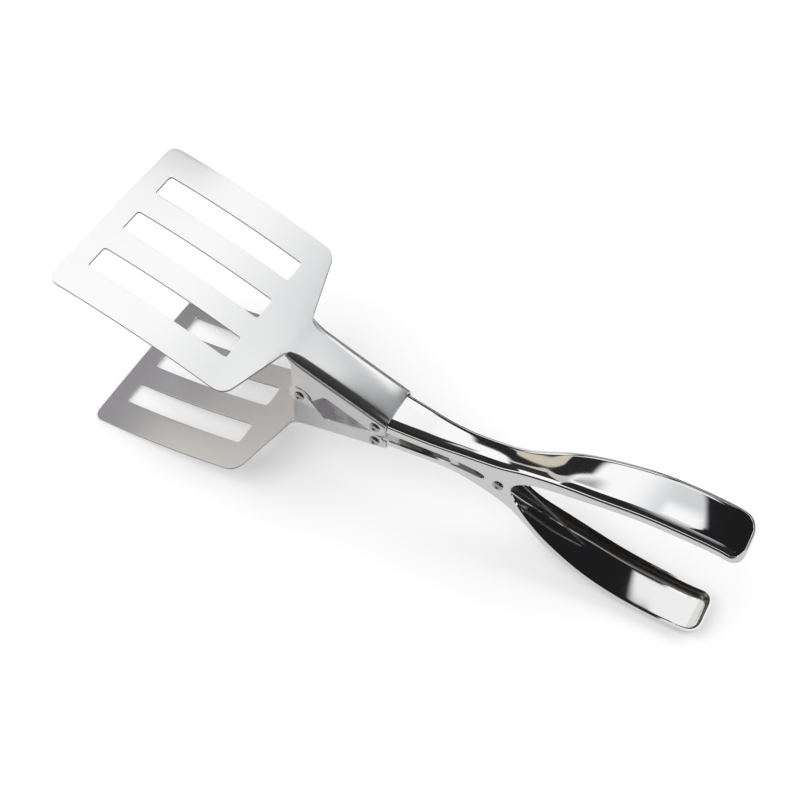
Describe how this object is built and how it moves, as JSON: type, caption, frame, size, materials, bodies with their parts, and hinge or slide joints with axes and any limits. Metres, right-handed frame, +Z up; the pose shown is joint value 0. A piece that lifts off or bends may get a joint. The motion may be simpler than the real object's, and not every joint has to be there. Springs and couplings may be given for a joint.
{
  "type": "kitchen tongs",
  "caption": "Spatula tongs of steel sheet: two wide slotted plates on necks, worked through a four-bar linkage by two curved channel handles, held open by a torsion spring.",
  "frame": {"origin": "centre of the bounding box in X and Y, at its bottom face", "axes": "+X along the tongs from the plates towards the handles, +Y across them, +Z up through the open tongs, from the lower plate to the upper one"},
  "size_m": [0.3064, 0.09, 0.1091],
  "materials": {
    "plate_steel": "satin stainless steel, lightly brushed",
    "handle_steel": "mirror-polished stainless steel",
    "rivet_steel": "smooth stainless steel",
    "spring_steel": "drawn stainless wire, bright"
  },
  "bodies": {
    "upper_handle": {"upper_handle": "handle_steel", "handle_pin": "rivet_steel", "upper_link_rivet_near": "rivet_steel", "upper_link_rivet_far": "rivet_steel"},
    "lower_handle": {"lower_handle": "handle_steel", "lower_link_rivet_near": "rivet_steel", "lower_link_rivet_far": "rivet_steel", "torsion_spring": "spring_steel"},
    "upper_head": {"upper_head": "plate_steel", "head_rivet_near": "rivet_steel", "head_rivet_far": "rivet_steel"},
    "lower_head": {"lower_head": "plate_steel"}
  },
  "joints": [
    {"name": "handle_squeeze", "type": "hinge", "parent": "upper_handle", "child": "lower_handle", "pos_m": [0.04891, 0, 0.04462], "axis": [0, -1, 0], "range_deg": [0, 34], "stiffness_Nm_per_rad": 0.5, "springref_deg": -20.05, "deforming": ["torsion_spring"]},
    {"name": "upper_head_pivot", "type": "hinge", "parent": "upper_handle", "child": "upper_head", "pos_m": [-0.00964, 0, 0.05314], "axis": [0, -1, 0], "range_deg": [0, 43.5]},
    {"name": "lower_head_pivot", "type": "hinge", "parent": "lower_handle", "child": "lower_head", "pos_m": [-0.01019, 0, 0.04195], "axis": [0, 1, 0], "range_deg": [0, 43.5]}
  ],
  "couplings": [
    {"joint": "upper_head_pivot", "follows": "handle_squeeze", "ratio": 1.276},
    {"joint": "lower_head_pivot", "follows": "handle_squeeze", "ratio": 1.276}
  ]
}
